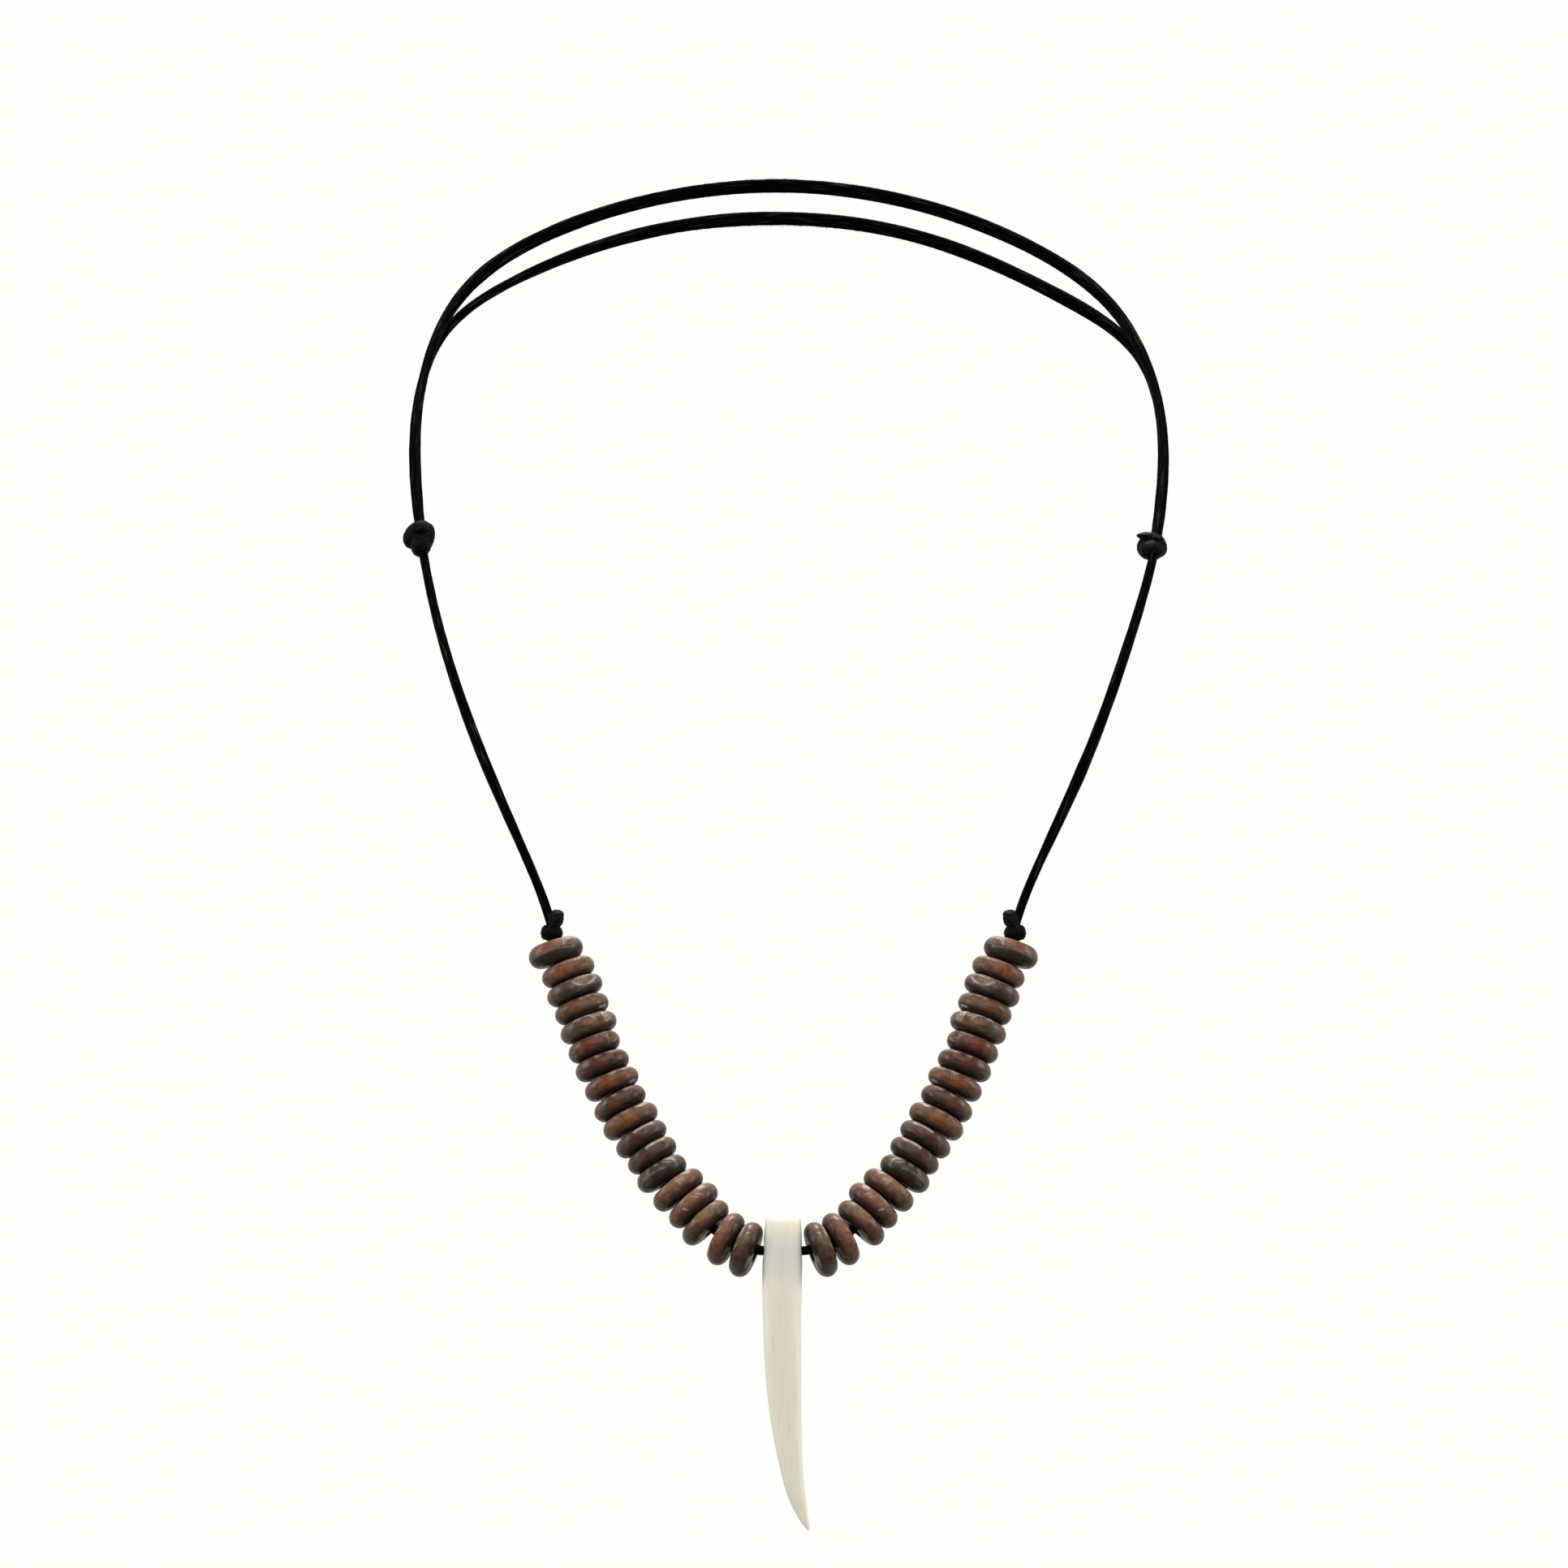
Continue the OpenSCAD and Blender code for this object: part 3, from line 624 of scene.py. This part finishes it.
# Sections of the tusk in millimetres, from the top down, as in the part's source.
# Columns: height over the bore, left edge, right edge, depth
TUSK_ROWS = [
    [5.4, -2.35, 2.3, 3.7], [5, -2.65, 2.6, 4.2], [4.1, -2.85, 2.75, 4.5], [0.8, -3.1, 2.9, 4.8],
    [-4.5, -3.35, 2.9, 5], [-10.5, -3.15, 2.7, 4.9], [-16.5, -3, 2.75, 4.6], [-22.5, -2.5, 2.8, 4.2],
    [-27.5, -1.8, 2.8, 3.7], [-32, -0.9, 2.9, 3.1], [-36, 0, 3.2, 2.5], [-39, 1.1, 3.6, 1.9],
    [-41, 2.2, 3.8, 1.3], [-42.3, 3, 4, 0.8], [-43, 3.7, 4.05, 0.3],
]
TUSK_RINGS, TUSK_SIDES = 190, 112
TUSK_SQUARENESS = 4.4
TUSK_SWELL, TUSK_WAVES = 0.006, np.array([4, 7, 12]) * MM
TUSK_CREASE = 32
TUSK_BORE = 2.9 * MM
# Softened lip of the bore: how far from the bore's middle it comes out, how far it reaches in, and
# how much it widens there
LIP_PLACE, LIP_DEPTH, LIP_WIDENING = 2.85 * MM, 0.5 * MM, 0.28 * MM
# The drill reaches past the tusk on both sides, where it grows no wider than this many lip depths
DRILL_REACH, DRILL_FLARE = 4.4 * MM, 3
DRILL_RINGS, DRILL_SIDES = 81, 48


def make_tusk():
    """The tusk: squarish ovals between its two edges, on a smooth curve through the sections.

    The bore is cut through sideways. Its radius grows with the square of the way past the lip's
    inner end, which rounds the edge where it comes out.
    """
    t = np.linspace(0, len(TUSK_ROWS) - 1, TUSK_RINGS)
    height, low, high, depth = (MM * spline(TUSK_ROWS, t)[0]).T[..., None]
    angle = np.arange(TUSK_SIDES) * 2 * np.pi / TUSK_SIDES
    across, deep = squarish(angle, TUSK_SQUARENESS)
    grid = np.stack([(low + high) / 2 + (high - low) / 2 * across, depth / 2 * deep,
                     height + 0 * across], -1)
    fuller = (1 + TUSK_SWELL * waves(grid, TUSK_WAVES, 5))[..., None]
    grid = grid * fuller * [1, 1, 0] + grid * [0, 0, 1]
    bore_middle = spline(ROUTE, BORE_AT)[0][0]
    tusk = surface("bone_tusk", grid + bore_middle)
    reach = np.linspace(-1, 1, DRILL_RINGS)[:, None] * DRILL_REACH
    past_lip = np.clip(1 + (abs(reach) - LIP_PLACE) / LIP_DEPTH, 0, DRILL_FLARE)
    radius = TUSK_BORE / 2 + LIP_WIDENING * past_lip ** 2 / 2
    angle = np.arange(DRILL_SIDES) * 2 * np.pi / DRILL_SIDES
    drill = np.stack([reach + 0 * angle, radius * np.cos(angle), radius * np.sin(angle)], -1)
    cutter = surface("drill", drill + bore_middle)
    cut = tusk.modifiers.new("bore", "BOOLEAN")
    cut.operation, cut.solver, cut.object = "DIFFERENCE", "EXACT", cutter
    drilled = bpy.data.meshes.new_from_object(tusk.evaluated_get(bpy.context.evaluated_depsgraph_get()))
    tusk.modifiers.clear()
    tusk.data = drilled
    drilled.shade_smooth()
    drilled.set_sharp_from_angle(angle=np.radians(TUSK_CREASE))
    bpy.data.objects.remove(cutter)
    drilled.materials.clear()
    drilled.materials.append(bone())
    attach(tusk, PENDANT)
    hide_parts("tusk_pendant")


# Knots

# Folds of a knot in millimetres, as the photograph shows them from the front. Columns: middle to the
# right, forwards and up from the knot's middle; reach to the right, forwards and up; turn clockwise
SLIDE_LEFT_FOLDS = [
    [0.35, 0.5, -0.4, 1.75, 2.0, 2.1, -8],
    [-0.3, -0.1, 0.35, 2.35, 1.9, 1.95, -35],
    [-0.15, 0.2, 0.8, 2.05, 1.9, 1.85, -35],
    [0.3, 0.8, 1.55, 1.65, 1.8, 1.35, -22],
    [0.4, 1.0, -1.1, 1.6, 2.25, 1.9, 0],
    [0.0, -1.2, 0.8, 1.9, 2.1, 1.7, 0],
    [1.5, 0.15, 0.35, 1.1, 1.6, 2.1, 8],
    [0.1, 0.4, -1.8, 1.2, 1.5, 1.0, 0],
]
SLIDE_RIGHT_FOLDS = [
    [0, 0.25, -0.3, 2.35, 2.15, 2.1, 0],
    [-0.35, 0.1, 1.5, 2.05, 1.9, 0.62, 2],
    [0.55, 0.35, 1.15, 1.45, 1.9, 0.55, 12],
    [1.35, 0.2, -0.15, 1.1, 1.9, 1.65, -12],
    [0.1, -0.6, 0.1, 1.3, 1.9, 2.1, -25],
    [0, -0.7, -0.5, 2.2, 1.6, 0.9, 15],
    [-0.05, 1.45, -0.75, 2.0, 2.25, 1.65, 0],
    [0.4, -1.3, 0.5, 1.8, 2.3, 1.6, 0],
]
STOP_FOLDS = [
    [0.40, 0.1, 0.72, 1.3, 1.65, 1.6, 20],
    [0.75, 0.15, 1.25, 1.1, 1.35, 0.75, -35],
    [0.45, 0.3, 0.55, 1.5, 1.6, 0.62, -38],
    [0.2, 0.25, -0.15, 1.45, 1.65, 0.55, -30],
    [-0.1, 0.35, -1.3, 1.6, 1.85, 1.3, 0],
    [-1.1, 0.2, -1.2, 0.72, 1.55, 1.15, 10],
    [0.85, 0.2, -1.3, 0.75, 1.55, 1.05, -8],
    [-0.1, 0.3, -2.0, 1.4, 1.65, 0.6, 4],
]
# Power of the mean that joins the folds
FOLD_BLEND = 26
KNOT_TURN, KNOT_ROWS = 150, 96
POLE_GAP = 0.02
# Wrinkles: their height, the distance between them, and how far they bend
WRINKLE, WRINKLE_SPACING, WRINKLE_BEND = 0.05 * MM, 0.55 * MM, 0.25 * MM
BEND_WAVES, FADE_WAVES = np.array([1.6, 2.7]) * MM, np.array([1.2, 2.0]) * MM


def fold_reach(ways, folds):
    """Distance from a knot's middle to its surface, along each way.

    Each fold is a turned ball, stretched along its three axes, and a way leaves it at the larger
    root of the ball's quadratic. The folds join by a mean of a high power, which keeps their creases.
    """
    total = np.zeros(ways.shape[:-1])
    for x, y, z, right, forward, up, turn in folds:
        c, s = np.cos(np.radians(turn)), np.sin(np.radians(turn))
        axes = np.array([[c, 0, -s], [0, -1, 0], [s, 0, c]]) / np.array([[right], [forward], [up]])
        d = ways @ axes.T
        m = axes @ np.array([x, -y, z])
        dd, dm = (d * d).sum(-1), d @ m
        inside = dm**2 - dd * (m @ m - 1)
        root = (dm + np.sqrt(np.maximum(inside, 0))) / dd
        total += np.where(inside > 0, np.maximum(root, 0), 0) ** FOLD_BLEND
    return MM * total ** (1 / FOLD_BLEND)


def knot_grid(folds, slant, seed):
    """A knot's surface round its middle, and its places for the grain, with x along the folds.

    Fine wrinkles run at a slant: sine waves across them, bent and faded by a slow unevenness.
    """
    down = np.linspace(POLE_GAP, np.pi - POLE_GAP, KNOT_ROWS)[:, None]
    turn = np.arange(KNOT_TURN) * 2 * np.pi / KNOT_TURN
    ways = np.stack([np.sin(down) * np.cos(turn), np.sin(down) * np.sin(turn), np.cos(down) + 0 * turn], -1)
    grid = fold_reach(ways, folds)[..., None] * ways
    c, s = np.cos(np.radians(slant)), np.sin(np.radians(slant))
    along, over = grid[..., 0] * c + grid[..., 2] * s, grid[..., 2] * c - grid[..., 0] * s
    bent = over + WRINKLE_BEND * waves(grid, BEND_WAVES, seed)
    fade = 0.5 + 0.5 * waves(grid, FADE_WAVES, seed + 1)
    ridges = np.sin(bent * 2 * np.pi / WRINKLE_SPACING) * fade
    grid = grid + (WRINKLE * ridges)[..., None] * ways
    return grid, np.stack([along, over, grid[..., 1]], -1)


def make_knot(name, node, folds, slant, mirrored=False, seed=30):
    low, high = (np.array(corner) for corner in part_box(node))
    grid, place = knot_grid(folds, slant, seed)
    if mirrored:
        grid = grid * MIRROR
    knot = surface(name, grid + (low + high) / 2, layers={"along": place})
    knot.data.materials.append(black_leather("dyed_leather_knot", KNOT_SHEEN))
    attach(knot, NECKLACE)
    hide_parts(node)


def make_knots():
    make_knot("sliding_knot_left", "slide_knot_left", SLIDE_LEFT_FOLDS, 35, seed=31)
    make_knot("sliding_knot_right", "slide_knot_right", SLIDE_RIGHT_FOLDS, 25, seed=41)
    make_knot("stopper_knot_left", "stop_knot_left", STOP_FOLDS, 38, seed=51)
    make_knot("stopper_knot_right", "stop_knot_right", STOP_FOLDS, 38, mirrored=True, seed=51)


# Materials

# IOR of the lace and of the knots. It is far lower than real leather's, which takes the grey sheen
# off as in the photograph, and the knots are rubbed to a little more sheen.
LACE_SHEEN, KNOT_SHEEN = 1.04, 1.15


def add(tree, kind, inputs=None, **settings):
    """Adds a node, sets its properties, and sets or links its inputs, by name or by number."""
    made = tree.nodes.new("ShaderNode" + kind)
    for key, value in settings.items():
        setattr(made, key, value)
    for key, value in (inputs or {}).items():
        if isinstance(value, bpy.types.NodeSocket):
            tree.links.new(value, made.inputs[key])
        else:
            made.inputs[key].default_value = value
    return made


def new_material(name):
    """An empty material and its node tree, or None for the tree if the material is there already."""
    if name in bpy.data.materials:
        return bpy.data.materials[name], None
    material = bpy.data.materials.new(name)
    material.use_nodes = True
    material.node_tree.nodes.clear()
    return material, material.node_tree


def black_leather(name, sheen):
    """Dyed leather lace, cut flat: a satin grain side with fine pores, streaked along its length
    where it has been pulled, and a few long grey scuffs. sheen is its IOR."""
    material, tree = new_material(name)
    if tree is None:
        return material
    along = add(tree, "Attribute", attribute_name="along").outputs["Vector"]
    # Streaks 9 mm long and 0.35 mm wide
    stretched = add(tree, "VectorMath", {0: along, 1: (1 / (9 * MM), 1 / (0.35 * MM), 1 / (0.35 * MM))},
                    operation="MULTIPLY").outputs[0]
    streaks = add(tree, "TexNoise", {"Vector": stretched, "Scale": 1.0, "Detail": 3.0}).outputs["Fac"]
    # Scuffs 5 mm long and 0.3 mm wide, with bare leather between them
    spotted = add(tree, "VectorMath", {0: along, 1: (1 / (5 * MM), 1 / (0.3 * MM), 1 / (0.3 * MM))},
                  operation="MULTIPLY").outputs[0]
    spots = add(tree, "TexNoise", {"Vector": spotted, "Scale": 1.0, "Detail": 1.0}).outputs["Fac"]
    scuffs = add(tree, "MapRange", {0: spots, 1: 0.6, 2: 0.85}).outputs[0]
    # Pores 0.16 mm apart
    pores = add(tree, "TexVoronoi", {"Vector": along, "Scale": 1 / (0.16 * MM)}).outputs["Distance"]
    tone = add(tree, "Mix", {0: streaks, 6: linear("#010101"), 7: linear("#050504")},
               data_type="RGBA").outputs[2]
    colour = add(tree, "Mix", {0: scuffs, 6: tone, 7: linear("#333230")}, data_type="RGBA").outputs[2]
    rough = add(tree, "MapRange", {0: streaks, 1: 0.3, 2: 0.7, 3: 0.55, 4: 0.72}).outputs[0]
    grain = add(tree, "Bump", {"Height": pores, "Strength": 0.25, "Distance": 0.03 * MM}).outputs[0]
    pulled = add(tree, "Bump", {"Height": streaks, "Strength": 0.6, "Distance": 0.12 * MM,
                                "Normal": grain}).outputs[0]
    shader = add(tree, "BsdfPrincipled", {"Base Color": colour, "Roughness": rough, "IOR": sheen,
                                          "Normal": pulled})
    add(tree, "OutputMaterial", {"Surface": shader.outputs[0]})
    return material


def coconut_shell():
    """Coconut shell, turned and polished: hard and dense, with fine streaks that follow the rim,
    small pale flecks, short tool lines across it on some beads, and a satin gloss."""
    material, tree = new_material("polished_coconut_shell")
    if tree is None:
        return material
    place = add(tree, "Attribute", attribute_name="shell_place").outputs["Vector"]
    # The shell's colour, with the painted sheen, highlights and shade, from the beads' colour layer.
    painted = add(tree, "Attribute", attribute_name="shell_colour_and_painted_light")
    # Streaks 1.6 mm long and 0.2 mm high, blotches 1.2 mm, flecks 0.5 mm, tool lines 0.22 mm apart
    streaked = add(tree, "VectorMath", {0: place, 1: (1 / (1.6 * MM), 1 / (1.6 * MM), 1 / (0.2 * MM))},
                   operation="MULTIPLY").outputs[0]
    streaks = add(tree, "TexNoise", {"Vector": streaked, "Scale": 1.0, "Detail": 4.0}).outputs["Fac"]
    lined = add(tree, "VectorMath", {0: place, 1: (1 / (0.22 * MM), 1 / (1.5 * MM), 1 / (0.9 * MM))},
                operation="MULTIPLY").outputs[0]
    lines = add(tree, "TexNoise", {"Vector": lined, "Scale": 1.0, "Detail": 2.0,
                                   "Distortion": 0.4}).outputs["Fac"]
    flecks = add(tree, "TexNoise", {"Vector": place, "Scale": 1 / (0.5 * MM),
                                    "Detail": 3.0}).outputs["Fac"]
    blotches = add(tree, "TexNoise", {"Vector": place, "Scale": 1 / (1.2 * MM), "Detail": 5.0,
                                      "Roughness": 0.65, "Distortion": 0.8}).outputs["Fac"]
    mottled = add(tree, "MapRange", {0: blotches, 1: 0.35, 2: 0.65, 3: 0.66, 4: 1.3}).outputs[0]
    streaky = add(tree, "MapRange", {0: streaks, 1: 0.3, 2: 0.7, 3: 0.7, 4: 1.28}).outputs[0]
    shade = add(tree, "Math", {0: mottled, 1: streaky}, operation="MULTIPLY").outputs[0]
    lined_shade = add(tree, "MapRange", {0: lines, 1: 0.35, 2: 0.65, 3: 0.6, 4: 1.3}).outputs[0]
    lined_part = add(tree, "Mix", {0: painted.outputs["Alpha"], 2: 1.0, 3: lined_shade},
                     data_type="FLOAT").outputs[0]
    strength = add(tree, "Math", {0: shade, 1: lined_part}, operation="MULTIPLY").outputs[0]
    body = add(tree, "VectorMath", {0: painted.outputs["Color"], "Scale": strength},
               operation="SCALE").outputs[0]
    pale = add(tree, "MapRange", {0: flecks, 1: 0.66, 2: 0.78, 3: 0.0, 4: 0.55}).outputs[0]
    colour = add(tree, "Mix", {0: pale, 6: body, 7: linear("#6c5c4e")}, data_type="RGBA").outputs[2]
    rough = add(tree, "MapRange", {0: streaks, 1: 0.3, 2: 0.7, 3: 0.3, 4: 0.44}).outputs[0]
    height = add(tree, "Math", {0: streaks, 1: lined_part}, operation="MULTIPLY").outputs[0]
    bump = add(tree, "Bump", {"Height": height, "Strength": 0.35, "Distance": 0.05 * MM}).outputs[0]
    shader = add(tree, "BsdfPrincipled", {"Base Color": colour, "Roughness": rough, "IOR": 1.53,
                                          "Specular IOR Level": 0.12, "Coat Weight": 0.05,
                                          "Coat Roughness": 0.12, "Normal": bump})
    add(tree, "OutputMaterial", {"Surface": shader.outputs[0]})
    return material


def bone():
    """Carved and polished bone: a warm white body with faint lengthwise grain, tiny pores, and a
    soft wax gloss. Light goes a little way into it."""
    material, tree = new_material("polished_bone")
    if tree is None:
        return material
    place = add(tree, "TexCoord").outputs["Object"]
    # Grain lines 7 mm long and 0.4 mm wide, clouds 8 mm, pores 0.9 mm long and 0.15 mm wide
    grained = add(tree, "VectorMath", {0: place, 1: (1 / (0.4 * MM), 1 / (0.4 * MM), 1 / (7 * MM))},
                  operation="MULTIPLY").outputs[0]
    grain = add(tree, "TexNoise", {"Vector": grained, "Scale": 1.0, "Detail": 3.0}).outputs["Fac"]
    clouds = add(tree, "TexNoise", {"Vector": place, "Scale": 1 / (8 * MM), "Detail": 2.0}).outputs["Fac"]
    pitted = add(tree, "VectorMath", {0: place, 1: (1 / (0.15 * MM), 1 / (0.15 * MM), 1 / (0.9 * MM))},
                 operation="MULTIPLY").outputs[0]
    pits = add(tree, "TexNoise", {"Vector": pitted, "Scale": 1.0, "Detail": 1.0}).outputs["Fac"]
    body = add(tree, "Mix", {0: clouds, 6: linear("#ece6d4"), 7: linear("#f1eee2")},
               data_type="RGBA").outputs[2]
    veined = add(tree, "MapRange", {0: grain, 1: 0.52, 2: 0.75, 3: 0.0, 4: 0.3}).outputs[0]
    colour = add(tree, "Mix", {0: veined, 6: body, 7: linear("#cfc6ae")}, data_type="RGBA").outputs[2]
    pores = add(tree, "MapRange", {0: pits, 1: 0.3, 2: 0.42}).outputs[0]
    bump = add(tree, "Bump", {"Height": pores, "Strength": 0.15, "Distance": 0.03 * MM}).outputs[0]
    shader = add(tree, "BsdfPrincipled", {
        "Base Color": colour, "Roughness": 0.36, "IOR": 1.55, "Normal": bump,
        "Subsurface Weight": 0.6, "Subsurface Radius": (3.0 * MM, 2.4 * MM, 1.7 * MM),
        "Subsurface Scale": 1.0,
    })
    add(tree, "OutputMaterial", {"Surface": shader.outputs[0]})
    return material


# Ground and light

FLOOR_BELOW = 45 * MM
FLOOR_RADIUS = 2.5
GROUND_WHITE = "#fefefc"
# Strength of the ground's light on the necklace, from the front and from behind, and the range of
# directions over which it changes, from 0 sideways to 1 straight behind
LIGHT_FRONT, LIGHT_BEHIND = 0.24, 0.8
TURNS_BRIGHT = (0.2, 0.9)


def make_ground():
    """A pale round floor under the tusk. It gives the necklace no light and no mirror image."""
    angle = np.arange(96) * 2 * np.pi / 96
    ring = np.stack([np.cos(angle), np.sin(angle), 0 * angle], -1)
    grid = np.stack([ring * FLOOR_RADIUS, ring * FLOOR_RADIUS - [0, 0, 0.01]])
    floor = surface("floor", grid + [0, 0, cad_low[2] - FLOOR_BELOW])
    material, tree = new_material("pale_paper_ground")
    matt = add(tree, "Emission", {"Color": linear(GROUND_WHITE), "Strength": 1.0})
    add(tree, "OutputMaterial", {"Surface": matt.outputs[0]})
    floor.data.materials.append(material)
    floor.visible_diffuse = floor.visible_glossy = floor.visible_shadow = False


def make_world():
    """White ground round about. It lights the necklace from behind, and only dimly from the front."""
    world = bpy.data.worlds.new("studio")
    world.use_nodes = True
    tree = world.node_tree
    tree.nodes.clear()
    way = add(tree, "TexCoord").outputs["Generated"]
    behind = add(tree, "SeparateXYZ", {0: way}).outputs["Y"]
    light = add(tree, "MapRange", {0: behind, 1: TURNS_BRIGHT[0], 2: TURNS_BRIGHT[1],
                                   3: LIGHT_FRONT, 4: LIGHT_BEHIND}).outputs[0]
    seen = add(tree, "LightPath").outputs["Is Camera Ray"]
    strength = add(tree, "Mix", {0: seen, 2: light, 3: 1.0}, data_type="FLOAT").outputs[0]
    sky = add(tree, "Background", {"Color": linear(GROUND_WHITE), "Strength": strength})
    add(tree, "OutputWorld", {"Surface": sky.outputs[0]})
    bpy.context.scene.world = world
    bpy.context.scene.view_settings.view_transform = "Standard"


# Softboxes. Columns: name, place, size across, power in watts
SOFTBOXES = [
    ("front", (0.0, -1.1, 1.0), 1.8, 26.0),
    ("left", (-1.2, -0.15, 0.25), 0.5, 7.0),
    ("right", (1.2, -0.15, 0.25), 0.5, 7.0),
    ("overhead", (0.0, 0.2, 0.5), 0.3, 5.5),
]
LIGHT_AIM = np.array([0.0, -0.09, -0.13])


def make_lights():
    for name, place, size, power in SOFTBOXES:
        data = bpy.data.lights.new(name, "AREA")
        data.shape = "DISK"
        data.size = size
        data.energy = power
        light = bpy.data.objects.new(name, data)
        x, y, z = np.array(place) - LIGHT_AIM
        light.location = place
        light.rotation_euler = (np.arctan2(np.hypot(x, y), z), 0, np.arctan2(y, x) + np.pi / 2)
        bpy.context.scene.collection.objects.link(light)


place_camera()
make_lace()
make_knots()
make_beads()
make_tusk()
make_ground()
make_world()
make_lights()
